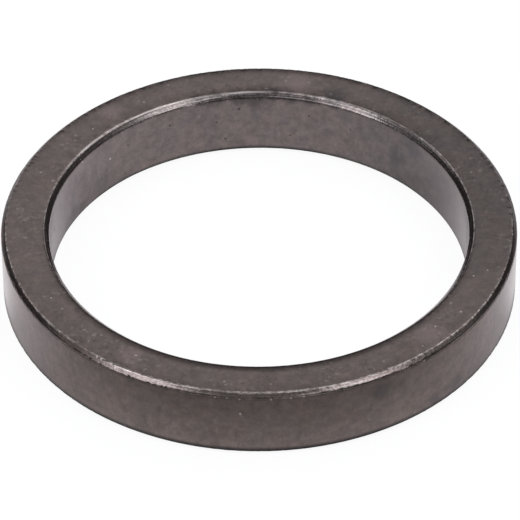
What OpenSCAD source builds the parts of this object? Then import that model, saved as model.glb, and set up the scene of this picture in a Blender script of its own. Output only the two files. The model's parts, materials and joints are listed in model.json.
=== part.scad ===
// Limiter ring: a plain steel ring, turned in one piece, with its four rims chamfered at
// 45 degrees and the corners of the chamfers worn round by tumbling.
// It lies on one flat face: the axis is Z, and the origin is the centre of that face.
// All sizes are in millimetres.

/* [Ring] */
// Diameter of the bore
bore_d = 32.5; // [16:0.5:60]
// Thickness of the wall, from the bore to the outside
wall = 3.75; // [2:0.25:10]
// Height along the axis, from face to face
height = 6; // [3:0.5:12]

/* [Rims] */
// Leg of the chamfer on the two outer rims
outer_chamfer = 0.35; // [0.2:0.05:0.8]
// Leg of the chamfer on the two bore rims
bore_chamfer = 0.4; // [0.2:0.05:0.8]
// Radius worn on each corner of the chamfers
corner_radius = 0.12; // [0.04:0.02:0.2]

/* [Hidden] */
// Steps around the ring, and along each worn corner
ring_steps = 180;
corner_steps = 4;

bore_r = bore_d / 2;
outer_r = bore_r + wall;

// Each corner of the section turns the outline by half a right angle
corner_turn = 45;
// How far before its tip a worn corner starts
corner_lead = corner_radius * tan(corner_turn / 2);

// The eight corners of the section, as radius and height: out along the lower face, up the
// outer wall, in along the upper face and down the bore
section_tips = [
    [outer_r - outer_chamfer, 0],
    [outer_r, outer_chamfer],
    [outer_r, height - outer_chamfer],
    [outer_r - outer_chamfer, height],
    [bore_r + bore_chamfer, height],
    [bore_r, height - bore_chamfer],
    [bore_r, bore_chamfer],
    [bore_r + bore_chamfer, 0]
];

function direction(angle) = [cos(angle), sin(angle)];

// The arc that rounds one corner: the outline comes in along the heading and turns left
function worn_corner(tip, heading) =
    let (start = tip - corner_lead * direction(heading))
    let (centre = start + corner_radius * direction(heading + 90))
    [
        for (step = [0:corner_steps])
            centre + corner_radius * direction(heading - 90 + corner_turn * step / corner_steps)
    ];

module ring_section() {
    polygon([
        for (i = [0:len(section_tips) - 1])
            each worn_corner(section_tips[i], i * corner_turn)
    ]);
}

module limiter_ring() {
    color("#5d5655")
        rotate_extrude($fn = ring_steps)
            ring_section();
}

limiter_ring();
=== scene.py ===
"""Limiter ring: the worn ring, its dark quenched steel and a plain studio, laid out as an add-on."""

import json
import math

import bpy
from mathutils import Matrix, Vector


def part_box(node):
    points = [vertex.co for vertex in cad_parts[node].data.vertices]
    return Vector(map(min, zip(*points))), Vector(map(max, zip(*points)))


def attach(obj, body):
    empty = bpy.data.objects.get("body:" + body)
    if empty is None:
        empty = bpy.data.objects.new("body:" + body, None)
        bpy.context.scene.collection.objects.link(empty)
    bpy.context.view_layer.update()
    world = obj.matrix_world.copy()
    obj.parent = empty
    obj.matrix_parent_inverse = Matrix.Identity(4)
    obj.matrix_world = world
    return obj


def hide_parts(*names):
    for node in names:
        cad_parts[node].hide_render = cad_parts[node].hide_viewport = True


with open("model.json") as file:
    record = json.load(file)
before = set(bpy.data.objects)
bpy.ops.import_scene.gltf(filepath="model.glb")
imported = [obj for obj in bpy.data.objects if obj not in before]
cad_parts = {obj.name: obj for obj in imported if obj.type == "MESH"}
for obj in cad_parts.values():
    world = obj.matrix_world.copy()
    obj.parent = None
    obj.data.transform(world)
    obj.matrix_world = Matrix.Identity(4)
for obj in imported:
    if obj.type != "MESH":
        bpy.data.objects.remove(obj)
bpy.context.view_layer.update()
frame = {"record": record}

bl_info = {
    "name": "Limiter Ring",
    "version": (1, 0, 0),
    "blender": (4, 5, 0),
    "location": "View3D > Sidebar > Limiter Ring",
    "description": "Models a turned steel limiter ring with worn rims, and a plain studio to show it in",
    "category": "Add Mesh",
}

# A millimetre and a micron in metres
MM = 0.001
MICRON = 0.000001

# The solid ring gives the sizes of the finished one
NODE = "limiter_ring"
NODE_LOW, NODE_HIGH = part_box(NODE)
MOUNTS = {mount["name"]: mount for mount in frame["record"]["mounts"]}
OUTER_D = NODE_HIGH.x - NODE_LOW.x
BORE_D = 2 * MOUNTS["bore"]["dims"]["r_mm"] * MM
HEIGHT = NODE_HIGH.z - NODE_LOW.z

# How lengths and shares are shown to the user
LENGTH = {"precision": 6, "unit": "LENGTH"}
SHARE = {"min": 0.0, "max": 1.0, "subtype": "FACTOR"}

# The picture is square: its side in pixels, and the width of the camera's sensor in mm
PICTURE_SIDE = 520
SENSOR_WIDTH = 36.0

# A quarter of the ring's turn is cut into this many steps, and each worn corner into this many
QUARTER_STEPS = 320
CORNER_STEPS = 3
# Cuts across each flat face and each chamfer
FACE_CUTS = 9
CHAMFER_CUTS = 4
# A flat face also has a cut near each of its ends, and a wall has two, this far on from the rounded
# corner and from the first cut, so that chipped corners don't tilt what lies between
END_CUT = 0.11 * MM
SECOND_CUT = 0.1 * MM
# Chips and wear reach this many corner radii from a corner, and outer walls show this share of the wear
WEAR_REACH = 1.2
OUTER_WALL_WEAR = 0.6
# The bore's rims are chipped to this share of the outer ones' depth
BORE_CHIP_SHARE = 0.35
# Points of the ring closer than this are one point
SAME_POINT = 2 * MICRON


class RingSizes(bpy.types.PropertyGroup):
    """Sizes of the ring and of the wear on it"""

    outer_d: bpy.props.FloatProperty(
        name="Outside diameter",
        description="Across the outer wall",
        default=OUTER_D,
        min=5 * MM,
        **LENGTH,
    )
    bore_d: bpy.props.FloatProperty(
        name="Bore diameter",
        description="Across the bore",
        default=BORE_D,
        min=2 * MM,
        **LENGTH,
    )
    height: bpy.props.FloatProperty(
        name="Height",
        description="From the lower face to the upper one",
        default=HEIGHT,
        min=1 * MM,
        **LENGTH,
    )
    outer_chamfer: bpy.props.FloatProperty(
        name="Outer chamfer",
        description="Leg of the chamfer on the two outer rims",
        default=0.35 * MM,
        min=0.1 * MM,
        **LENGTH,
    )
    bore_chamfer: bpy.props.FloatProperty(
        name="Bore chamfer",
        description="Leg of the chamfer on the two bore rims",
        default=0.4 * MM,
        min=0.1 * MM,
        **LENGTH,
    )
    wall_corner_radius: bpy.props.FloatProperty(
        name="Wall corner radius",
        description="Radius worn where the chamfers meet the walls",
        default=0.22 * MM,
        min=0.02 * MM,
        **LENGTH,
    )
    corner_radius: bpy.props.FloatProperty(
        name="Outer corner radius",
        description="Radius worn where the flat faces meet the outer chamfers",
        default=0.12 * MM,
        min=0.02 * MM,
        **LENGTH,
    )
    bore_corner_radius: bpy.props.FloatProperty(
        name="Bore corner radius",
        description="Radius worn where the flat faces meet the chamfers of the bore",
        default=0.22 * MM,
        min=0.02 * MM,
        **LENGTH,
    )
    outer_roll: bpy.props.FloatProperty(
        name="Outer roll-off",
        description="How far the flat faces sink towards their outer rims",
        default=0.04 * MM,
        min=0.0,
        **LENGTH,
    )
    outer_roll_width: bpy.props.FloatProperty(
        name="Outer roll-off width",
        description="Width of the band along each outer rim in which a face sinks",
        default=0.85 * MM,
        min=0.1 * MM,
        **LENGTH,
    )
    bore_roll: bpy.props.FloatProperty(
        name="Bore roll-off",
        description="How far the flat faces sink towards their bore rims",
        default=0.11 * MM,
        min=0.0,
        **LENGTH,
    )
    bore_roll_width: bpy.props.FloatProperty(
        name="Bore roll-off width",
        description="Width of the band along each bore rim in which a face sinks",
        default=1.2 * MM,
        min=0.1 * MM,
        **LENGTH,
    )
    chip_depth: bpy.props.FloatProperty(
        name="Chip depth",
        description="Depth of the deepest chips along the corners of the chamfers",
        default=0.06 * MM,
        min=0.0,
        **LENGTH,
    )
    chip_size: bpy.props.FloatProperty(
        name="Chip size",
        description="Usual length of a chip along a rim",
        default=0.3 * MM,
        min=0.1 * MM,
        **LENGTH,
    )


class RingFinish(bpy.types.PropertyGroup):
    """Colours of the ring's steel and of the shade painted on it, as sRGB hex values, its film of oil and
    its roughness
    """

    skin: bpy.props.StringProperty(
        name="Skin",
        description="Colour of the darker blotches of the quenched skin",
        default="#5c514e",
    )
    skin_pale: bpy.props.StringProperty(
        name="Pale skin",
        description="Colour of the paler blotches of the quenched skin",
        default="#7a6d69",
    )
    # Colour that makes the skin darker and greyer towards the ring's right side
    stain: bpy.props.StringProperty(
        name="Stain",
        description="Colour that darkens the skin on the side where the quench struck",
        default="#d9dbdc",
    )
    # Painted shade: the colour that darkens the far rim of the bore and the foot of its wall at the back
    # left
    painted_shade: bpy.props.StringProperty(
        name="Soot",
        description="Colour of the sooty stains along the bore's rim",
        default="#2c2729",
    )
    thick_skin: bpy.props.StringProperty(
        name="Thick skin",
        description="Colour of the stains where the skin is thick",
        default="#4b4546",
    )
    thin_skin: bpy.props.StringProperty(
        name="Thin skin",
        description="Colour of the stains where the skin is thin",
        default="#867674",
    )
    temper_warm: bpy.props.StringProperty(
        name="Warm temper colour",
        description="Colour that shades the browner patches of the skin",
        default="#fffcfa",
    )
    temper_cool: bpy.props.StringProperty(
        name="Cool temper colour",
        description="Colour that shades the greyer patches of the skin",
        default="#f9fcff",
    )
    # Colour of the pits, and also of the painted shadow along the foot of each wall
    pit_and_shadow: bpy.props.StringProperty(
        name="Pits",
        description="Colour of the small dark pits in the skin",
        default="#151213",
    )
    bare: bpy.props.StringProperty(
        name="Bare steel",
        description="Colour of the steel where the skin is rubbed or chipped through",
        default="#bcb4b2",
    )
    bore: bpy.props.StringProperty(
        name="Bore",
        description="Colour that shades the skin in the bore",
        default="#f5f8ff",
    )
    edge: bpy.props.StringProperty(
        name="Grazing light",
        description="Colour of the light that the skin mirrors at a grazing angle",
        default="#fff7fc",
    )
    oil: bpy.props.FloatProperty(
        name="Oil",
        description="Share of the skin that a thin film of oil covers",
        default=0.5,
        **SHARE,
    )
    roughness: bpy.props.FloatProperty(
        name="Roughness",
        description="Roughness of the skin",
        default=0.24,
        **SHARE,
    )
    chamfer_roughness: bpy.props.FloatProperty(
        name="Chamfer roughness",
        description="Roughness of the chamfers",
        default=0.18,
        **SHARE,
    )


class RingStudio(bpy.types.PropertyGroup):
    """Floor, lamps and camera"""

    floor: bpy.props.StringProperty(
        name="Floor",
        description="Colour of the floor, as an sRGB hex value",
        default="#ffffff",
    )
    paper: bpy.props.StringProperty(
        name="Paper",
        description="Colour of the paper where it shades, as an sRGB hex value",
        default="#f2f2f4",
    )
    lamp: bpy.props.StringProperty(
        name="Lamps",
        description="Colour of the lamps' light, as an sRGB hex value",
        default="#f8fbff",
    )
    pool_radiance: bpy.props.FloatProperty(
        name="Pool of light",
        description="Brightness of the paper next to the ring as the ring mirrors it, where 1 is white",
        default=1.0,
        min=0.0,
    )
    softbox_radiance: bpy.props.FloatProperty(
        name="Softboxes",
        description="Brightness of the two softboxes in front, where 1 is white",
        default=2.75,
        min=0.0,
    )
    overhead_radiance: bpy.props.FloatProperty(
        name="Overhead panel",
        description="Brightness of the panel overhead, where 1 is white",
        default=1.0,
        min=0.0,
    )
    fill_radiance: bpy.props.FloatProperty(
        name="Fill panels",
        description="Brightness of the two low panels at the ring's sides, where 1 is white",
        default=0.4,
        min=0.0,
    )
    side_radiance: bpy.props.FloatProperty(
        name="Side panels",
        description="Brightness of the two panels behind the ring's sides, where 1 is white",
        default=1.85,
        min=0.0,
    )
    back_radiance: bpy.props.FloatProperty(
        name="Back panels",
        description="Brightness of the two panels behind the ring, where 1 is white",
        default=0.34,
        min=0.0,
    )
    camera_elevation: bpy.props.FloatProperty(
        name="Camera elevation",
        description="Angle of the camera above the floor",
        default=math.radians(40.11),
        subtype="ANGLE",
    )
    camera_distance: bpy.props.FloatProperty(
        name="Camera distance",
        description="From the camera to the middle of the ring",
        default=344.3 * MM,
        min=50 * MM,
        **LENGTH,
    )


def linear(hex_colour):
    """Scene-linear colour of an sRGB hex value, with full alpha"""
    digits = hex_colour.lstrip("#")
    channels = []
    for start in (0, 2, 4):
        level = int(digits[start:start + 2], 16) / 255
        if level <= 0.04045:
            channels.append(level / 12.92)
        else:
            channels.append(((level + 0.055) / 1.055) ** 2.4)
    return (*channels, 1.0)


def add_node(tree, kind, inputs=None, **settings):
    """Add one node with its settings, and fill or link its inputs; a node stands for its first output"""
    node = tree.nodes.new(kind)
    for name, value in settings.items():
        setattr(node, name, value)
    for name, value in (inputs or {}).items():
        if isinstance(value, bpy.types.Node):
            value = value.outputs[0]
        if isinstance(value, bpy.types.NodeSocket):
            tree.links.new(value, node.inputs[name])
        else:
            node.inputs[name].default_value = value
    return node


def per_metre(size_mm):
    """Scale of a pattern on Object coordinates whose features measure that many millimetres"""
    return 1 / (size_mm * MM)


def pick_points(piece, wanted):
    """Select the points of a piece that pass a test on their place, and nothing else"""
    bpy.ops.object.mode_set(mode="EDIT")
    bpy.ops.mesh.select_mode(type="VERT")
    bpy.ops.mesh.select_all(action="DESELECT")
    bpy.ops.object.mode_set(mode="OBJECT")
    for point in piece.data.vertices:
        point.select = wanted(point.co)
    bpy.ops.object.mode_set(mode="EDIT")


def pick_edges(piece, wanted):
    """Select the edges of a piece that pass a test on their two ends, and nothing else"""
    bpy.ops.object.mode_set(mode="EDIT")
    bpy.ops.mesh.select_mode(type="EDGE")
    bpy.ops.mesh.select_all(action="DESELECT")
    bpy.ops.object.mode_set(mode="OBJECT")
    points = piece.data.vertices
    for edge in piece.data.edges:
        first, last = edge.vertices
        edge.select = wanted(points[first].co, points[last].co)
    bpy.ops.object.mode_set(mode="EDIT")


def draw_section(sizes):
    """Draw the ring's section as a plane, chamfer its corners and wear them round"""
    wall = (sizes.outer_d - sizes.bore_d) / 2
    middle = (sizes.outer_d + sizes.bore_d) / 4
    bpy.ops.object.select_all(action="DESELECT")
    bpy.ops.mesh.primitive_plane_add(
        size=1,
        location=(middle, 0, sizes.height / 2),
        rotation=(math.pi / 2, 0, 0),
    )
    ring = bpy.context.object
    ring.name = "worn_ring"
    ring.data.name = "worn_ring"
    ring.scale = (wall, sizes.height, 1)
    bpy.ops.object.transform_apply(location=True, rotation=True, scale=True)
    pick_points(ring, lambda place: place.x > middle)
    bpy.ops.mesh.bevel(offset=sizes.outer_chamfer, segments=1, affect="VERTICES")
    near_bore = sizes.bore_d / 2 + wall / 4
    pick_points(ring, lambda place: place.x < near_bore)
    bpy.ops.mesh.bevel(offset=sizes.bore_chamfer, segments=1, affect="VERTICES")
    # A corner of 45 degrees is worn round from this share of its radius on
    lead_share = math.tan(math.pi / 8)
    corners = (
        (sizes.outer_d / 2, sizes.wall_corner_radius),
        (sizes.outer_d / 2 - sizes.outer_chamfer, sizes.corner_radius),
        (sizes.bore_d / 2 + sizes.bore_chamfer, sizes.bore_corner_radius),
        (sizes.bore_d / 2, sizes.wall_corner_radius),
    )
    for corner_x, radius in corners:
        pick_points(ring, lambda place: abs(place.x - corner_x) < SAME_POINT)
        bpy.ops.mesh.bevel(offset=radius * lead_share, segments=CORNER_STEPS, affect="VERTICES")
    bpy.ops.mesh.select_all(action="SELECT")
    bpy.ops.mesh.delete(type="ONLY_FACE")
    bpy.ops.object.mode_set(mode="OBJECT")
    return ring


def cut_section(ring, sizes):
    """Cut the flats, walls and chamfers of the section, so that wear can bend them"""
    long_edge = 2 * sizes.corner_radius
    middle = (sizes.outer_d + sizes.bore_d) / 4
    centre = (middle, 0, sizes.height / 2)

    def is_face(first, last):
        return abs(first.x - last.x) > long_edge and abs(first.z - last.z) < SAME_POINT

    def is_wall(first, last):
        return abs(first.z - last.z) > long_edge and abs(first.x - last.x) < SAME_POINT

    def is_chamfer(first, last):
        return min(abs(first.x - last.x), abs(first.z - last.z)) > sizes.corner_radius

    # Two cuts at a time stand a sixth of the width from the middle, and are slid apart to near the ends
    face_width = sizes.outer_d / 2 - sizes.outer_chamfer - sizes.bore_d / 2 - sizes.bore_chamfer
    pick_edges(ring, is_face)
    bpy.ops.mesh.subdivide(number_cuts=2)
    pick_points(ring, lambda place: abs(place.x - middle) < face_width / 4)
    bpy.ops.transform.resize(value=(3 - 6 * END_CUT / face_width, 1, 1), center_override=centre)
    wall_height = sizes.height - 2 * sizes.outer_chamfer
    for inset in (END_CUT, SECOND_CUT):
        pick_edges(ring, is_wall)
        bpy.ops.mesh.subdivide(number_cuts=2)
        pick_points(ring, lambda place: abs(place.z - centre[2]) < sizes.height / 4)
        bpy.ops.transform.resize(value=(1, 1, 3 - 6 * inset / wall_height), center_override=centre)
        wall_height -= 2 * inset
    for test, cuts in ((is_face, FACE_CUTS), (is_chamfer, CHAMFER_CUTS)):
        pick_edges(ring, test)
        bpy.ops.mesh.subdivide(number_cuts=cuts)
    bpy.ops.object.mode_set(mode="OBJECT")


def spin_section(ring):
    """Spin the section through a quarter turn, copy that quarter round, and close the seams"""
    quarter = math.pi / 2
    bpy.ops.object.mode_set(mode="EDIT")
    bpy.ops.mesh.select_all(action="SELECT")
    bpy.ops.mesh.spin(steps=QUARTER_STEPS, angle=quarter, center=(0, 0, 0), axis=(0, 0, 1))
    bpy.ops.mesh.select_all(action="SELECT")
    bpy.ops.mesh.spin(steps=3, dupli=True, angle=3 * quarter, center=(0, 0, 0), axis=(0, 0, 1))
    bpy.ops.mesh.select_all(action="SELECT")
    bpy.ops.mesh.remove_doubles(threshold=SAME_POINT)
    bpy.ops.mesh.normals_make_consistent(inside=False)
    bpy.ops.object.mode_set(mode="OBJECT")


def section_place(place):
    """Distance from the axis and height of a point of the ring"""
    return Vector((math.hypot(place.x, place.y), place.z))


def rim_corners(sizes):
    """Radius and height of the section's corners: four next to a face, then four next to a wall"""
    rims = (
        (sizes.outer_d / 2, -sizes.outer_chamfer, sizes.outer_roll),
        (sizes.bore_d / 2, sizes.bore_chamfer, sizes.bore_roll),
    )
    by_face = []
    by_wall = []
    for radius, inset, sunk in rims:
        for height, way in ((sunk, 1), (sizes.height - sunk, -1)):
            by_face.append(Vector((radius + inset, height)))
            by_wall.append(Vector((radius, height + way * abs(inset))))
    return by_face, by_wall


def weigh_points(ring, name, weight):
    """Add a vertex group whose weights come from each point's place in the section"""
    group = ring.vertex_groups.new(name=name)
    for point in ring.data.vertices:
        share = weight(section_place(point.co))
        if share > 0:
            group.add([point.index], share, "REPLACE")
    return group


def displace(ring, name, group, strength, direction, texture=None, mid_level=0.0):
    """Move the points of a group along a direction, and keep the result"""
    bpy.ops.object.select_all(action="DESELECT")
    ring.select_set(True)
    bpy.context.view_layer.objects.active = ring
    bpy.ops.object.modifier_add(type="DISPLACE")
    modifier = ring.modifiers[-1]
    modifier.name = name
    modifier.vertex_group = group.name
    modifier.strength = strength
    modifier.direction = direction
    modifier.mid_level = mid_level
    modifier.texture = texture
    bpy.ops.object.modifier_apply(modifier=modifier.name)


def roll_faces(ring, sizes):
    """Let the flat faces sink a little towards their rims, as tumbling leaves them"""
    outer_edge = sizes.outer_d / 2 - sizes.outer_chamfer
    bore_edge = sizes.bore_d / 2 + sizes.bore_chamfer
    middle = (outer_edge + bore_edge) / 2
    deepest = max(sizes.outer_roll, sizes.bore_roll)
    for name, face, way in (("lower_roll", 0, 1), ("upper_roll", sizes.height, -1)):

        def sink(place):
            radius, height = place
            if radius > middle:
                inside = outer_edge - radius
                chamfer = sizes.outer_chamfer
                share = sizes.outer_roll / deepest
                width = sizes.outer_roll_width
            else:
                inside = radius - bore_edge
                chamfer = sizes.bore_chamfer
                share = sizes.bore_roll / deepest
                width = sizes.bore_roll_width
            on_face = max(1 - max(inside, 0) / width, 0) ** 2
            # The chamfer sinks whole, and the points of the wall below it close up
            below = max(abs(height - face) - chamfer, 0)
            on_wall = max(1 - below / width, 0)
            return share * min(on_face, on_wall)

        group = weigh_points(ring, name, sink)
        displace(ring, name, group, way * deepest, "Z")


def chip_rims(ring, sizes):
    """Chip the corners of the chamfers, in a cloudy pattern that only ever cuts in"""
    by_face, by_wall = rim_corners(sizes)
    reach = WEAR_REACH * sizes.corner_radius
    middle = (sizes.outer_d + sizes.bore_d) / 4

    def near_corner(place):
        distance = min((place - corner).length for corner in by_face + by_wall)
        share = 1.0 if place.x > middle else BORE_CHIP_SHARE
        return share * max(1 - distance / reach, 0)

    group = weigh_points(ring, "chips", near_corner)
    clouds = bpy.data.textures.new("rim_chips", "CLOUDS")
    clouds.noise_scale = sizes.chip_size
    clouds.noise_depth = 2
    # Bright and of high contrast, the pattern leaves most of a rim whole
    clouds.contrast = 2.5
    clouds.intensity = 1.45
    clouds.use_clamp = True
    displace(ring, "chips", group, sizes.chip_depth, "NORMAL", clouds, 1.0)


def store_wear(ring, sizes):
    """Store where each point lies: how near to a corner of a chamfer, and whether on a chamfer"""
    by_face, by_wall = rim_corners(sizes)
    outer_edge = sizes.outer_d / 2 - sizes.outer_chamfer
    bore_edge = sizes.bore_d / 2 + sizes.bore_chamfer
    reach = WEAR_REACH * sizes.corner_radius
    wear = ring.data.attributes.new("rim_wear", "FLOAT", "POINT")
    chamfer = ring.data.attributes.new("chamfer", "FLOAT", "POINT")
    for point, worn, cut in zip(ring.data.vertices, wear.data, chamfer.data):
        place = section_place(point.co)
        to_face = min((place - corner).length for corner in by_face)
        to_wall = min((place - corner).length for corner in by_wall)
        outside = place.x > outer_edge
        wall_share = OUTER_WALL_WEAR if outside else 0.0
        worn.value = max(1 - to_face / reach, wall_share * (1 - to_wall / reach), 0)
        if outside:
            leg = sizes.outer_chamfer + sizes.outer_roll
        else:
            leg = sizes.bore_chamfer + sizes.bore_roll
        beyond_face = outside or place.x < bore_edge
        depth = min(place.y, sizes.height - place.y)
        cut.value = 1.0 if beyond_face and depth < leg else 0.0


# Sizes in millimetres of the patterns in the skin; the finer ones are drawn that coarse so that they show
BLOTCH_MM = 0.8
TEMPER_MM = 1.6
STAIN_EDGE_MM = 0.7
STAIN_SWAY_MM = 1.4
SPECK_EDGE_MM = 0.15
SPECK_SPACING_MM = 1.5
FLECK_MM = 0.35
CLUSTER_MM = 3.0
LINE_MM = 0.14
LINE_RUN_MM = 6.0
GRAIN_MM = 0.2
RUB_SPOT_MM = 0.6
# Heights of the turning lines and of the grain, drawn high enough to show
LINE_HEIGHT = 35 * MICRON
GRAIN_HEIGHT = 3 * MICRON
# The finish of a flat face starts this far below the face, and is whole this far below it
FACE_START = 0.3 * MM
FACE_FULL = 0.15 * MM
# The finish of the bore starts this far out from the bore's wall, and is whole this far out
BORE_START = 0.35 * MM
BORE_FULL = 0.05 * MM
# The skin is darker and greyer about this place: wholly near by, and not at all further off
DARK_SIDE_MIDDLE = (17 * MM, 6 * MM, 3 * MM)
DARK_SIDE_NEAR = 5 * MM
DARK_SIDE_FAR = 19 * MM
# A stain is full out to this share of its size, and then covers this share of the skin
STAIN_CORE = 0.2
STAIN_SHARE = 0.7
PIT_ROUGHNESS = 0.4
OIL_ROUGHNESS = 0.2

# Stains of the skin: angle round from the front in degrees, radius, height and size in mm, and tone.
# The rows in the darkest tone are painted shade, not stains: they darken the bore's far rim and the foot of
# its wall at the back left
STAINS = (
    (159, 16.5, 5.75, 0.9, "painted_shade"),
    (165, 16.5, 5.75, 0.9, "painted_shade"),
    (171, 16.5, 5.75, 1.0, "painted_shade"),
    (176, 16.5, 5.75, 1.0, "painted_shade"),
    (181, 16.4, 5.5, 1.3, "painted_shade"),
    (186, 16.5, 5.7, 1.1, "painted_shade"),
    (192, 16.5, 5.75, 1.0, "painted_shade"),
    (197, 16.5, 5.75, 0.9, "painted_shade"),
    (131, 16.3, 4.8, 1.7, "thick_skin"),
    (137, 16.3, 3.0, 1.3, "thick_skin"),
    (240, 16.3, 1.1, 0.9, "painted_shade"),
    (245, 16.3, 1.2, 1.2, "painted_shade"),
    (250, 16.3, 0.9, 1.0, "painted_shade"),
    (44, 18.4, 6.0, 1.7, "thin_skin"),
    (170, 18.0, 6.0, 1.9, "thin_skin"),
    (-140, 18.3, 6.0, 1.3, "thin_skin"),
    (-32, 18.2, 6.0, 1.4, "thin_skin"),
    (159, 17.3, 6.0, 1.5, "thick_skin"),
    (27, 20.0, 4.5, 1.4, "thick_skin"),
    (41, 20.0, 1.2, 0.9, "thick_skin"),
    (48, 20.0, 1.4, 0.9, "thick_skin"),
)
# Small bare marks and dark pits: angle round from the front in degrees, radius, height and size in mm
BARE_MARKS = (
    (55, 18.6, 6.0, 0.26),
    (68.5, 17.6, 6.0, 0.18),
    (71.5, 18.4, 6.0, 0.15),
    (40, 19.0, 6.0, 0.18),
    (47, 18.1, 6.0, 0.2),
    (-31, 18.0, 6.0, 0.24),
    (-56, 18.0, 6.0, 0.18),
    (-61, 18.1, 6.0, 0.18),
    (-110.5, 18.3, 6.0, 0.2),
    (-132, 17.7, 6.0, 0.2),
    (-149, 17.8, 6.0, 0.18),
    (-157.5, 18.9, 6.0, 0.18),
    (226.8, 16.25, 3.5, 0.22),
    (239, 16.5, 5.8, 0.2),
    (239, 16.4, 5.6, 0.2),
    (239, 16.25, 5.4, 0.2),
    (-4.2, 20.0, 4.1, 0.26),
    (-9.6, 19.97, 5.58, 0.24),
    (-7.1, 19.97, 5.58, 0.2),
    (-4.3, 19.97, 5.56, 0.18),
    (2.4, 19.97, 5.56, 0.26),
    (6.6, 19.97, 5.58, 0.24),
    (9.4, 19.95, 5.62, 0.26),
    (38, 19.97, 5.58, 0.22),
)
PITS = (
    (185.5, 16.25, 4.5, 0.3),
    (165.5, 16.25, 4.1, 0.2),
    (189.5, 16.25, 1.6, 0.24),
    (206, 16.25, 4.1, 0.24),
    (220, 16.25, 3.8, 0.2),
    (192, 16.25, 3.4, 0.24),
    (153, 16.25, 3.7, 0.2),
    (171, 16.25, 1.9, 0.2),
    (260.6, 16.25, 3.25, 0.5),
)

# Lengths of the bore's rim that are rubbed bare, as angle, radius, height and size
RUBBED_RIM = (
    (206, 16.65, 6.0, 9.5),
    (184, 16.65, 6.0, 5.0),
    (235, 16.65, 6.0, 4.0),
)


def on_ring(angle, radius, height):
    """Place at an angle in degrees round from the front, and at a radius and a height in millimetres"""
    turn = math.radians(angle)
    return (radius * MM * math.sin(turn), -radius * MM * math.cos(turn), height * MM)


def add_marks(tree, place, marks):
    """Share of the surface that small marks cover, each at its place and of its size"""
    covered = 0.0
    for angle, radius, height, size in marks:
        away = add_node(
            tree, "ShaderNodeVectorMath",
            {0: place, 1: on_ring(angle, radius, height)},
            operation="DISTANCE",
        )
        share = add_node(
            tree, "ShaderNodeMapRange",
            {"Value": away.outputs["Value"], "From Min": size / 2 * MM, "From Max": 0, "To Max": 1.4},
        )
        covered = add_node(tree, "ShaderNodeMath", {0: share, 1: covered}, operation="MAXIMUM").outputs[0]
    return covered


def mottled_skin(tree, finish, place):
    """Skin in darker and paler blotches, with temper colours over it"""
    # Blotches from the darker to the paler skin
    blotches = add_node(
        tree, "ShaderNodeTexNoise",
        {"Vector": place, "Scale": per_metre(BLOTCH_MM), "Detail": 4.0, "Roughness": 0.8},
    )
    blotch_level = add_node(
        tree, "ShaderNodeMath",
        {0: blotches.outputs["Fac"], 1: 0.5},
        operation="SUBTRACT",
    )
    pale_share = add_node(
        tree, "ShaderNodeMath",
        {0: blotch_level, 1: 2.6, 2: 0.5},
        operation="MULTIPLY_ADD",
        use_clamp=True,
    )
    skin = add_node(
        tree, "ShaderNodeMix",
        {0: pale_share, 6: linear(finish.skin), 7: linear(finish.skin_pale)},
        data_type="RGBA",
    )

    # Temper colours: soft patches, each a little browner or greyer
    temper = add_node(
        tree, "ShaderNodeTexNoise",
        {"Vector": place, "Scale": per_metre(TEMPER_MM), "Detail": 3.0, "Roughness": 0.55},
    )
    warm_share = add_node(
        tree, "ShaderNodeMapRange",
        {"Value": temper.outputs["Fac"], "From Min": 0.35, "From Max": 0.65},
    )
    temper_colour = add_node(
        tree, "ShaderNodeMix",
        {0: warm_share, 6: linear(finish.temper_cool), 7: linear(finish.temper_warm)},
        data_type="RGBA",
    )
    tempered = add_node(
        tree, "ShaderNodeMix",
        {0: 1.0, 6: skin.outputs[2], 7: temper_colour.outputs[2]},
        data_type="RGBA",
        blend_type="MULTIPLY",
    )
    return tempered.outputs[2]


def stains_and_painted_shade(tree, finish, place, skin):
    """The skin with its stains and with painted shade on the bore, and darker and greyer towards its right
    side
    """
    # Stains with ragged edges, each at its own place; those in the darkest tone are painted shade
    ragged = add_node(
        tree, "ShaderNodeTexNoise",
        {"Vector": place, "Scale": per_metre(STAIN_EDGE_MM), "Detail": 3.0, "Roughness": 0.6},
    )
    ragged_place = add_node(
        tree, "ShaderNodeVectorMath",
        {0: ragged.outputs["Color"], 1: (STAIN_SWAY_MM * MM,) * 3, 2: place},
        operation="MULTIPLY_ADD",
    )
    centred_place = add_node(
        tree, "ShaderNodeVectorMath",
        {0: ragged_place, 1: (STAIN_SWAY_MM * MM / 2,) * 3},
        operation="SUBTRACT",
    )
    spotted_and_shaded = skin
    for angle, stain_radius, stain_height, size, tone in STAINS:
        away = add_node(
            tree, "ShaderNodeVectorMath",
            {0: centred_place, 1: on_ring(angle, stain_radius, stain_height)},
            operation="DISTANCE",
        )
        share = add_node(
            tree, "ShaderNodeMapRange",
            {
                "Value": away.outputs["Value"],
                "From Min": size * MM,
                "From Max": STAIN_CORE * size * MM,
                "To Max": STAIN_SHARE,
            },
            interpolation_type="SMOOTHSTEP",
        )
        spotted_and_shaded = add_node(
            tree, "ShaderNodeMix",
            {0: share, 6: spotted_and_shaded, 7: linear(getattr(finish, tone))},
            data_type="RGBA",
        ).outputs[2]

    # Darker and greyer towards the ring's right side, a little to the back, fading with distance from there
    from_dark_side = add_node(
        tree, "ShaderNodeVectorMath",
        {0: place, 1: DARK_SIDE_MIDDLE},
        operation="DISTANCE",
    )
    dark_side_share = add_node(
        tree, "ShaderNodeMapRange",
        {
            "Value": from_dark_side.outputs["Value"],
            "From Min": DARK_SIDE_FAR,
            "From Max": DARK_SIDE_NEAR,
        },
        interpolation_type="SMOOTHSTEP",
    )
    stained_and_shaded = add_node(
        tree, "ShaderNodeMix",
        {0: dark_side_share, 6: spotted_and_shaded, 7: linear(finish.stain)},
        data_type="RGBA",
        blend_type="MULTIPLY",
    )
    return stained_and_shaded.outputs[2]


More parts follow.
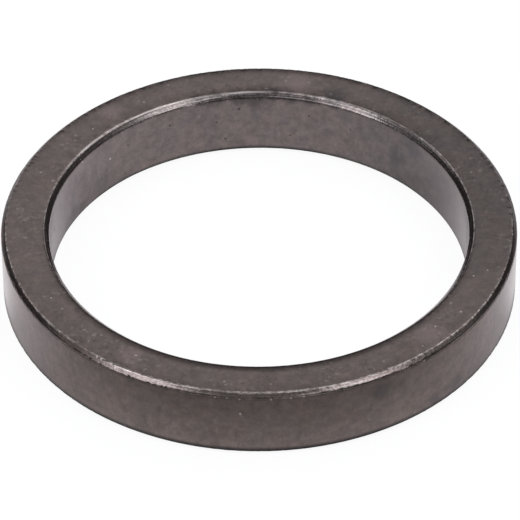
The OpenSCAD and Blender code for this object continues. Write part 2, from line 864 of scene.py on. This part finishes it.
def skin_flecks(tree, place, on_face):
    """Shares of pale flecks of thin skin and dark ones of thick skin: in clusters, and faint on the walls"""
    drawn_out = add_node(tree, "ShaderNodeVectorMath", {0: place, 1: (1, 1, 0.4)}, operation="MULTIPLY")
    flecks = add_node(
        tree, "ShaderNodeTexNoise",
        {"Vector": drawn_out, "Scale": per_metre(FLECK_MM), "Detail": 2.0, "Distortion": 0.3},
    )
    clusters = add_node(
        tree, "ShaderNodeTexNoise",
        {"Vector": place, "Scale": per_metre(CLUSTER_MM), "Detail": 1.0},
    )
    cluster_share = add_node(
        tree, "ShaderNodeMapRange",
        {"Value": clusters.outputs["Fac"], "From Min": 0.46, "From Max": 0.6, "To Min": 0.1},
    )
    fleck_share = add_node(tree, "ShaderNodeMapRange", {"Value": on_face, "To Min": 0.3})
    fleck_strength = add_node(
        tree, "ShaderNodeMath",
        {0: cluster_share, 1: fleck_share},
        operation="MULTIPLY",
    )
    thin = add_node(
        tree, "ShaderNodeMapRange",
        {"Value": flecks.outputs["Fac"], "From Min": 0.6, "From Max": 0.72, "To Max": 0.3},
    )
    thin_share = add_node(tree, "ShaderNodeMath", {0: thin, 1: fleck_strength}, operation="MULTIPLY")
    thick = add_node(
        tree, "ShaderNodeMapRange",
        {"Value": flecks.outputs["Fac"], "From Min": 0.4, "From Max": 0.28, "To Max": 0.45},
    )
    thick_share = add_node(tree, "ShaderNodeMath", {0: thick, 1: fleck_strength}, operation="MULTIPLY")
    return thin_share, thick_share


def painted_foot_shadow(tree, uneven_centred):
    """Share of a painted shadow: a dark ragged line along the foot of each wall"""
    uneven_height = add_node(tree, "ShaderNodeSeparateXYZ", {"Vector": uneven_centred})
    below_line = add_node(
        tree, "ShaderNodeMapRange",
        {
            "Value": uneven_height.outputs["Z"],
            "From Min": 0.8 * MM,
            "From Max": 0.52 * MM,
            "To Max": 0.95,
        },
    )
    above_foot = add_node(
        tree, "ShaderNodeMapRange",
        {"Value": uneven_height.outputs["Z"], "From Min": 0.12 * MM, "From Max": 0.25 * MM},
    )
    foot_shadow = add_node(tree, "ShaderNodeMath", {0: below_line, 1: above_foot}, operation="MULTIPLY")
    return foot_shadow


def turning_lines(tree, height, radius, flat):
    """Pattern of lines that run round the ring and hardly change along the way"""
    across = add_node(
        tree, "ShaderNodeMath",
        {0: height.outputs["Z"], 1: 0.4, 2: radius.outputs["Value"]},
        operation="MULTIPLY_ADD",
    )
    stretched = add_node(tree, "ShaderNodeMath", {0: across, 1: per_metre(LINE_MM)}, operation="MULTIPLY")
    line_place = add_node(tree, "ShaderNodeCombineXYZ", {"Z": stretched})
    slow = add_node(
        tree, "ShaderNodeVectorMath",
        {0: flat, 1: (per_metre(LINE_RUN_MM), per_metre(LINE_RUN_MM), 0), 2: line_place},
        operation="MULTIPLY_ADD",
    )
    lines = add_node(
        tree, "ShaderNodeTexNoise",
        {"Vector": slow, "Scale": 1.0, "Detail": 2.0, "Roughness": 0.6},
    )
    return lines


def worn_rims(tree, place):
    """Share of bare steel in the worn lines along the corners of the rims, broken up by spots"""
    wear = add_node(tree, "ShaderNodeAttribute", attribute_name="rim_wear")
    broken = add_node(
        tree, "ShaderNodeTexNoise",
        {"Vector": place, "Scale": per_metre(RUB_SPOT_MM), "Detail": 3.0},
    )
    unbroken = add_node(
        tree, "ShaderNodeMapRange",
        {"Value": broken.outputs["Fac"], "From Min": 0.4, "From Max": 0.64, "To Min": 0.05, "To Max": 0.8},
    )
    worn_line = add_node(
        tree, "ShaderNodeMapRange",
        {"Value": wear.outputs["Fac"], "From Min": 0.35, "From Max": 0.85},
    )
    rim_share = add_node(
        tree, "ShaderNodeMath",
        {0: unbroken, 1: add_marks(tree, place, RUBBED_RIM)},
        operation="MAXIMUM",
    )
    rubbed = add_node(tree, "ShaderNodeMath", {0: worn_line, 1: rim_share}, operation="MULTIPLY")
    return rubbed


def steel_relief(tree, lines, grain, chamfer):
    """Bump of the turning lines on the chamfers and of the grain all over"""
    line_height = add_node(
        tree, "ShaderNodeMath",
        {0: lines.outputs["Fac"], 1: chamfer.outputs["Fac"]},
        operation="MULTIPLY",
    )
    turned = add_node(
        tree, "ShaderNodeBump",
        {"Height": line_height, "Distance": LINE_HEIGHT, "Strength": 1.0},
    )
    coarseness = add_node(
        tree, "ShaderNodeMapRange",
        {"Value": chamfer.outputs["Fac"], "To Min": 0.6, "To Max": 4.0},
    )
    grain_height = add_node(
        tree, "ShaderNodeMath",
        {0: grain.outputs["Fac"], 1: coarseness},
        operation="MULTIPLY",
    )
    bump = add_node(
        tree, "ShaderNodeBump",
        {
            "Height": grain_height,
            "Distance": GRAIN_HEIGHT,
            "Strength": 1.0,
            "Normal": turned.outputs["Normal"],
        },
    )
    return bump


def quenched_steel(finish, sizes):
    """Oil-quenched steel, tumbled after turning.

    A thin dark brown-grey oxide skin under a film of oil gives a dull mirror: satin, mottled and
    with stains, darker and greyer towards its right side. It has dark pits and flecks, light specks
    where it has chipped through, fine turning lines on the chamfers and bright worn lines along the
    corners of the rims. A dark line of painted shadow runs along its foot, and painted shade darkens
    the far rim of the bore.
    """
    material = bpy.data.materials.new("quenched_steel")
    material.use_nodes = True
    tree = material.node_tree
    tree.nodes.clear()
    place = add_node(tree, "ShaderNodeTexCoord").outputs["Object"]

    # Where on the ring: distance from the axis, height, and whether on a flat face
    height = add_node(tree, "ShaderNodeSeparateXYZ", {"Vector": place})
    flat = add_node(tree, "ShaderNodeVectorMath", {0: place, 1: (1, 1, 0)}, operation="MULTIPLY")
    radius = add_node(tree, "ShaderNodeVectorMath", {0: flat}, operation="LENGTH")
    above_middle = add_node(
        tree, "ShaderNodeMath",
        {0: height.outputs["Z"], 1: sizes.height / 2},
        operation="SUBTRACT",
    )
    from_middle = add_node(tree, "ShaderNodeMath", {0: above_middle}, operation="ABSOLUTE")
    on_face = add_node(
        tree, "ShaderNodeMapRange",
        {
            "Value": from_middle,
            "From Min": sizes.height / 2 - FACE_START,
            "From Max": sizes.height / 2 - FACE_FULL,
        },
    )

    skin = mottled_skin(tree, finish, place)
    stained_and_shaded = stains_and_painted_shade(tree, finish, place, skin)

    # The skin in the bore is a little bluer
    bore_share = add_node(
        tree, "ShaderNodeMapRange",
        {
            "Value": radius.outputs["Value"],
            "From Min": sizes.bore_d / 2 + BORE_START,
            "From Max": sizes.bore_d / 2 + BORE_FULL,
        },
    )
    shaded = add_node(
        tree, "ShaderNodeMix",
        {0: bore_share, 6: stained_and_shaded, 7: linear(finish.bore)},
        data_type="RGBA",
        blend_type="MULTIPLY",
    )

    # Specks where the skin has chipped through, as small lumps that the surface cuts, and the marks and
    # pits that have places of their own
    jitter = add_node(
        tree, "ShaderNodeTexNoise",
        {"Vector": place, "Scale": per_metre(SPECK_EDGE_MM), "Detail": 1.0},
    )
    uneven = add_node(
        tree, "ShaderNodeVectorMath",
        {0: jitter.outputs["Color"], 1: (SPECK_EDGE_MM * MM,) * 3, 2: place},
        operation="MULTIPLY_ADD",
    )
    uneven_centred = add_node(
        tree, "ShaderNodeVectorMath",
        {0: uneven, 1: (SPECK_EDGE_MM * MM / 2,) * 3},
        operation="SUBTRACT",
    )
    cells = add_node(
        tree, "ShaderNodeTexVoronoi",
        {"Vector": uneven, "Scale": per_metre(SPECK_SPACING_MM)},
    )
    specks = add_node(
        tree, "ShaderNodeMapRange",
        {"Value": cells.outputs["Distance"], "From Min": 0.11, "From Max": 0.03, "To Max": 0.4},
    )
    marks = add_marks(tree, uneven_centred.outputs[0], BARE_MARKS)
    pits = add_marks(tree, uneven_centred.outputs[0], PITS)

    # Dark are the pits, the flecks of thick skin and the painted shadow along the foot
    thin_share, thick_share = skin_flecks(tree, place, on_face)
    pit_share = add_node(tree, "ShaderNodeMath", {0: pits, 1: thick_share}, operation="MAXIMUM")
    foot_shadow = painted_foot_shadow(tree, uneven_centred)
    dark_share = add_node(tree, "ShaderNodeMath", {0: pit_share, 1: foot_shadow}, operation="MAXIMUM")
    pitted_and_shadowed = add_node(
        tree, "ShaderNodeMix",
        {0: dark_share, 6: shaded.outputs[2], 7: linear(finish.pit_and_shadow)},
        data_type="RGBA",
    )

    lines = turning_lines(tree, height, radius, flat)
    chamfer = add_node(tree, "ShaderNodeAttribute", attribute_name="chamfer")

    # Grain of the skin
    grain = add_node(
        tree, "ShaderNodeTexNoise",
        {"Vector": place, "Scale": per_metre(GRAIN_MM), "Detail": 3.0, "Roughness": 0.6},
    )

    # Bare are the worn rims, and on the chamfers the crests of the turning lines and of the grain
    rubbed = worn_rims(tree, place)
    crest_height = add_node(
        tree, "ShaderNodeMath",
        {0: lines.outputs["Fac"], 1: 2.0, 2: grain.outputs["Fac"]},
        operation="MULTIPLY_ADD",
    )
    crests = add_node(
        tree, "ShaderNodeMapRange",
        {"Value": crest_height, "From Min": 1.4, "From Max": 2.0, "To Max": 0.5},
    )
    turned_bare = add_node(
        tree, "ShaderNodeMath",
        {0: crests, 1: chamfer.outputs["Fac"], 2: rubbed},
        operation="MULTIPLY_ADD",
    )
    face_share = add_node(tree, "ShaderNodeMath", {0: specks, 1: on_face}, operation="MULTIPLY")
    chipped = add_node(tree, "ShaderNodeMath", {0: face_share, 1: marks}, operation="MAXIMUM")
    flecked = add_node(tree, "ShaderNodeMath", {0: chipped, 1: thin_share}, operation="MAXIMUM")
    bare_share = add_node(
        tree, "ShaderNodeMath",
        {0: turned_bare, 1: flecked},
        operation="MAXIMUM",
        use_clamp=True,
    )
    colour = add_node(
        tree, "ShaderNodeMix",
        {0: bare_share, 6: pitted_and_shadowed.outputs[2], 7: linear(finish.bare)},
        data_type="RGBA",
    )

    bump = steel_relief(tree, lines, grain, chamfer)
    # The chamfers, cut last, are smoother than the faces
    smoothness = add_node(
        tree, "ShaderNodeMapRange",
        {
            "Value": chamfer.outputs["Fac"],
            "To Min": finish.roughness,
            "To Max": finish.chamfer_roughness,
        },
    )
    # Pits are rough
    roughness = add_node(
        tree, "ShaderNodeMix",
        {0: pits, 2: smoothness, 3: PIT_ROUGHNESS},
        data_type="FLOAT",
    )
    shader = add_node(
        tree, "ShaderNodeBsdfPrincipled",
        {
            "Base Color": colour.outputs[2],
            "Metallic": 1.0,
            "Roughness": roughness,
            "Specular Tint": linear(finish.edge),
            "Coat Weight": finish.oil,
            "Coat Roughness": OIL_ROUGHNESS,
            "Normal": bump.outputs["Normal"],
        },
    )
    add_node(tree, "ShaderNodeOutputMaterial", {"Surface": shader.outputs["BSDF"]})
    return material


# Side of the floor in metres, the white that the camera sees of it, and how much that hides its shading
FLOOR_SIDE = 8.0
CAMERA_WHITE = 1.035
CAMERA_SHARE = 0.9
# Paper closer to the axis than this is inside the ring
INSIDE_RADIUS = 17 * MM
# Reach of the ring's shade along its foot, and how fast that deepens
FOOT_SHADE = 0.55 * MM
FOOT_SHADE_POWER = 2.5
# The pool of light on the paper: its brightness by distance in millimetres, its radius and its middle
POOL_OF_LIGHT = (
    (0, 1.0),
    (14, 0.98),
    (23, 0.9),
    (28.5, 0.46),
    (32, 0.37),
)
POOL_RADIUS = 40 * MM
POOL_MIDDLE = (0, 3 * MM, 0)


def fill_ramp(ramp, levels):
    """Set the stops of a colour ramp to grey levels at their places"""
    stops = ramp.color_ramp.elements
    while len(stops) > 1:
        stops.remove(stops[-1])
    for index, (position, level) in enumerate(levels):
        stop = stops[0] if index == 0 else stops.new(position)
        stop.position = position
        stop.color = (level, level, level, 1)


def mirrored_paper(tree, studio, place):
    """Brightness of the paper as the ring mirrors it.

    It falls off with distance, is dimmer inside the ring and outside close to its front quarters, and
    lies in the ring's own shade along its foot.
    """
    parts = add_node(tree, "ShaderNodeSeparateXYZ", {"Vector": place})
    from_middle = add_node(tree, "ShaderNodeVectorMath", {0: place, 1: POOL_MIDDLE}, operation="DISTANCE")
    ramp_place = add_node(
        tree, "ShaderNodeMath",
        {0: from_middle.outputs["Value"], 1: POOL_RADIUS},
        operation="DIVIDE",
    )
    pool = add_node(tree, "ShaderNodeValToRGB", {"Fac": ramp_place})
    fill_ramp(pool, [(distance * MM / POOL_RADIUS, level) for distance, level in POOL_OF_LIGHT])
    mirrored = add_node(
        tree, "ShaderNodeMath",
        {0: pool.outputs["Color"], 1: studio.pool_radiance},
        operation="MULTIPLY",
    )
    # Inside the ring its two sides shade the paper
    sideways = add_node(tree, "ShaderNodeMath", {0: parts.outputs["X"]}, operation="ABSOLUTE")
    side_share = add_node(
        tree, "ShaderNodeMapRange",
        {
            "Value": sideways,
            "From Min": 7 * MM,
            "From Max": 11.5 * MM,
            "To Min": 1.0,
            "To Max": 0.74,
        },
        interpolation_type="SMOOTHSTEP",
    )
    from_axis = add_node(tree, "ShaderNodeVectorMath", {0: place}, operation="LENGTH")
    inside = add_node(
        tree, "ShaderNodeMath",
        {0: from_axis.outputs["Value"], 1: INSIDE_RADIUS},
        operation="LESS_THAN",
    )
    # Outside, close to the ring's front quarters, painted shade makes the paper a little darker
    beside = add_node(
        tree, "ShaderNodeMapRange",
        {"Value": sideways, "From Min": 12 * MM, "From Max": 17 * MM},
    )
    close_by = add_node(
        tree, "ShaderNodeMapRange",
        {"Value": from_axis.outputs["Value"], "From Min": 23.3 * MM, "From Max": 21 * MM},
    )
    quarter_share = add_node(tree, "ShaderNodeMath", {0: beside, 1: close_by}, operation="MULTIPLY")
    quarter_level = add_node(
        tree, "ShaderNodeMapRange",
        {
            "Value": parts.outputs["Y"],
            "From Min": -5 * MM,
            "From Max": -1.5 * MM,
            "To Min": 0.74,
            "To Max": 1.1,
        },
    )
    outer_share = add_node(
        tree, "ShaderNodeMix",
        {0: quarter_share, 2: 1.0, 3: quarter_level},
        data_type="FLOAT",
    )
    level = add_node(tree, "ShaderNodeMix", {0: inside, 2: outer_share, 3: side_share}, data_type="FLOAT")
    dimmed = add_node(tree, "ShaderNodeMath", {0: mirrored, 1: level}, operation="MULTIPLY")
    # Close to the ring's foot the mirrored paper lies in the ring's own shade
    open_share = add_node(tree, "ShaderNodeAmbientOcclusion", {"Distance": FOOT_SHADE}, samples=8)
    shade = add_node(
        tree, "ShaderNodeMath",
        {0: open_share.outputs["AO"], 1: FOOT_SHADE_POWER},
        operation="POWER",
    )
    shaded = add_node(tree, "ShaderNodeMath", {0: dimmed, 1: shade}, operation="MULTIPLY")
    return shaded


def white_paper(studio):
    """Smooth matt white paper.

    It shades softly, the camera sees most of it as plain white, and the ring mirrors the pool of
    light that it lies in: white round about, and dim further off.
    """
    material = bpy.data.materials.new("white_paper")
    material.use_nodes = True
    tree = material.node_tree
    tree.nodes.clear()
    place = add_node(tree, "ShaderNodeTexCoord").outputs["Object"]
    shaded = mirrored_paper(tree, studio, place)
    rays = add_node(tree, "ShaderNodeLightPath")
    strength = add_node(
        tree, "ShaderNodeMix",
        {0: rays.outputs["Is Camera Ray"], 2: shaded, 3: CAMERA_WHITE},
        data_type="FLOAT",
    )
    white = add_node(tree, "ShaderNodeEmission", {"Color": linear(studio.floor), "Strength": strength})
    matt = add_node(tree, "ShaderNodeBsdfDiffuse", {"Color": linear(studio.paper)})
    camera_share = add_node(
        tree, "ShaderNodeMath",
        {0: rays.outputs["Is Camera Ray"], 1: CAMERA_SHARE},
        operation="MULTIPLY",
    )
    share = add_node(
        tree, "ShaderNodeMath",
        {0: rays.outputs["Is Glossy Ray"], 1: camera_share},
        operation="ADD",
    )
    seen = add_node(tree, "ShaderNodeMixShader", {0: share, 1: matt, 2: white})
    add_node(tree, "ShaderNodeOutputMaterial", {"Surface": seen})
    return material


# Brightness of the studio's walls and ceiling by elevation in degrees, where 1 is white
SURROUNDINGS = (
    (0, 0.085),
    (20, 0.095),
    (28, 0.18),
    (34, 0.34),
    (40, 0.41),
    (50, 0.37),
    (90, 0.36),
)


def light_surroundings():
    """Walls that are dark near the floor and pale above it; the camera sees them as plain white"""
    world = bpy.data.worlds.new("studio_walls")
    bpy.context.scene.world = world
    world.use_nodes = True
    tree = world.node_tree
    tree.nodes.clear()
    direction = add_node(tree, "ShaderNodeTexCoord").outputs["Generated"]
    parts = add_node(tree, "ShaderNodeSeparateXYZ", {"Vector": direction})
    ramp = add_node(tree, "ShaderNodeValToRGB", {"Fac": parts.outputs["Z"]})
    fill_ramp(ramp, [(math.sin(math.radians(elevation)), level) for elevation, level in SURROUNDINGS])
    rays = add_node(tree, "ShaderNodeLightPath")
    seen = add_node(
        tree, "ShaderNodeMix",
        {0: rays.outputs["Is Camera Ray"], 6: ramp.outputs["Color"], 7: (1, 1, 1, 1)},
        data_type="RGBA",
    )
    walls = add_node(tree, "ShaderNodeBackground", {"Color": seen.outputs[2], "Strength": 1.0})
    add_node(tree, "ShaderNodeOutputWorld", {"Surface": walls})


# Soft panels: name, azimuth from the camera's side, elevation, width and height as the ring sees them,
# in degrees, the studio's brightness that each one has, and its share of that
PANELS = (
    ("left_softbox", -55.5, 42, 23, 32, "softbox_radiance", 1.05),
    ("right_softbox", 52, 49, 24, 26, "softbox_radiance", 0.9),
    ("overhead_panel", 0, 90, 50, 50, "overhead_radiance", 1.0),
    ("left_fill_panel", -86, 34, 26, 14, "fill_radiance", 0.7),
    ("right_fill_panel", 73, 38, 16, 12, "fill_radiance", 1.0),
    ("left_side_panel", -130, 46, 30, 20, "side_radiance", 0.56),
    ("right_side_panel", 132, 57, 30, 26, "side_radiance", 0.9),
    ("low_back_panel", 180, 36.5, 40, 6, "back_radiance", 1.0),
    ("high_back_panel", 180, 44, 40, 18, "back_radiance", 1.0),
)
# How far from the ring the panels hang, in metres
PANEL_DISTANCE = 0.8


def add_panel(name, azimuth, elevation, width, height, radiance, tint):
    """Hang a soft panel that faces the ring; angles in degrees, azimuth from the camera's side"""
    turn = math.radians(azimuth)
    rise = math.radians(elevation)
    towards = Vector((math.sin(turn) * math.cos(rise), -math.cos(turn) * math.cos(rise), math.sin(rise)))
    bpy.ops.object.light_add(type="AREA", location=towards * PANEL_DISTANCE)
    lamp = bpy.context.object
    lamp.name = name
    lamp.rotation_mode = "QUATERNION"
    lamp.rotation_quaternion = towards.to_track_quat("Z", "Y")
    lamp.data.color = tint
    lamp.data.shape = "RECTANGLE"
    lamp.data.size = 2 * PANEL_DISTANCE * math.tan(math.radians(width) / 2)
    lamp.data.size_y = 2 * PANEL_DISTANCE * math.tan(math.radians(height) / 2)
    lamp.data.energy = radiance * math.pi * lamp.data.size * lamp.data.size_y
    return lamp


def add_camera(studio, sizes):
    """Look down at the ring from in front, framed as in the picture"""
    # Where the middle of the ring stands in the picture, in pixels from its upper left pixel
    ring_x = 258.73
    ring_y = 252.07
    # Pixels that the outer radius takes up at the middle of the ring
    radius_pixels = 256.71
    # The picture leans by this angle
    lean = math.radians(-0.328)
    focal_pixels = radius_pixels * studio.camera_distance / (sizes.outer_d / 2)
    middle = Vector((0, 0, sizes.height / 2))
    rise = studio.camera_elevation
    back = Vector((0, -math.cos(rise), math.sin(rise)))
    right = Vector((1, 0, 0))
    up = back.cross(right)
    pixel = studio.camera_distance / focal_pixels
    centre = (PICTURE_SIDE - 1) / 2
    aim = middle + right * (centre - ring_x) * pixel + up * (ring_y - centre) * pixel
    bpy.ops.object.camera_add(location=aim + back * studio.camera_distance)
    camera = bpy.context.object
    camera.name = "camera"
    camera.rotation_mode = "QUATERNION"
    camera.rotation_quaternion = back.to_track_quat("Z", "Y")
    camera.rotation_mode = "XYZ"
    camera.rotation_euler.rotate_axis("Z", lean)
    camera.data.sensor_width = SENSOR_WIDTH
    camera.data.lens = focal_pixels * SENSOR_WIDTH / PICTURE_SIDE
    camera.data.clip_start = 10 * MM
    camera.data.clip_end = 20.0
    bpy.context.scene.camera = camera


class LIMITERRING_OT_make_ring(bpy.types.Operator):
    """Turn the ring from its section, wear it and give it its finish"""

    bl_idname = "limiter_ring.make_ring"
    bl_label = "Make Ring"
    bl_options = {"REGISTER", "UNDO"}

    def execute(self, context):
        sizes = context.scene.ring_sizes
        ring = draw_section(sizes)
        cut_section(ring, sizes)
        spin_section(ring)
        roll_faces(ring, sizes)
        chip_rims(ring, sizes)
        store_wear(ring, sizes)
        bpy.ops.object.shade_smooth()
        ring.data.materials.append(quenched_steel(context.scene.ring_finish, sizes))
        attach(ring, "root")
        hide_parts(NODE)
        return {"FINISHED"}


class LIMITERRING_OT_make_studio(bpy.types.Operator):
    """Lay the paper floor, hang the lamps and set the camera"""

    bl_idname = "limiter_ring.make_studio"
    bl_label = "Make Studio"
    bl_options = {"REGISTER", "UNDO"}

    def execute(self, context):
        studio = context.scene.ring_studio
        sizes = context.scene.ring_sizes
        bpy.ops.object.select_all(action="DESELECT")
        bpy.ops.mesh.primitive_plane_add(size=FLOOR_SIDE)
        floor = context.object
        floor.name = "paper_floor"
        floor.data.materials.append(white_paper(studio))
        light_surroundings()
        tint = linear(studio.lamp)[:3]
        for name, azimuth, elevation, width, height, group, share in PANELS:
            radiance = share * getattr(studio, group)
            add_panel(name, azimuth, elevation, width, height, radiance, tint)
        add_camera(studio, sizes)
        context.scene.view_settings.view_transform = "Standard"
        return {"FINISHED"}


class LIMITERRING_PT_sidebar(bpy.types.Panel):
    """Sizes, finish and studio of the ring"""

    bl_idname = "LIMITERRING_PT_sidebar"
    bl_label = "Limiter Ring"
    bl_space_type = "VIEW_3D"
    bl_region_type = "UI"
    bl_category = "Limiter Ring"

    def draw(self, context):
        layout = self.layout
        for group in (context.scene.ring_sizes, context.scene.ring_finish, context.scene.ring_studio):
            box = layout.box()
            for name in group.__annotations__:
                box.prop(group, name)
        layout.operator(LIMITERRING_OT_make_ring.bl_idname)
        layout.operator(LIMITERRING_OT_make_studio.bl_idname)


CLASSES = (
    RingSizes,
    RingFinish,
    RingStudio,
    LIMITERRING_OT_make_ring,
    LIMITERRING_OT_make_studio,
    LIMITERRING_PT_sidebar,
)


def register():
    """Register the classes, and give the scene the settings"""
    for cls in CLASSES:
        bpy.utils.register_class(cls)
    bpy.types.Scene.ring_sizes = bpy.props.PointerProperty(type=RingSizes)
    bpy.types.Scene.ring_finish = bpy.props.PointerProperty(type=RingFinish)
    bpy.types.Scene.ring_studio = bpy.props.PointerProperty(type=RingStudio)


def unregister():
    """Take the settings and the classes away again"""
    del bpy.types.Scene.ring_studio
    del bpy.types.Scene.ring_finish
    del bpy.types.Scene.ring_sizes
    for cls in reversed(CLASSES):
        bpy.utils.unregister_class(cls)


def main():
    """Make the ring and the studio"""
    register()
    bpy.ops.limiter_ring.make_ring()
    bpy.ops.limiter_ring.make_studio()


if __name__ == "__main__":
    main()
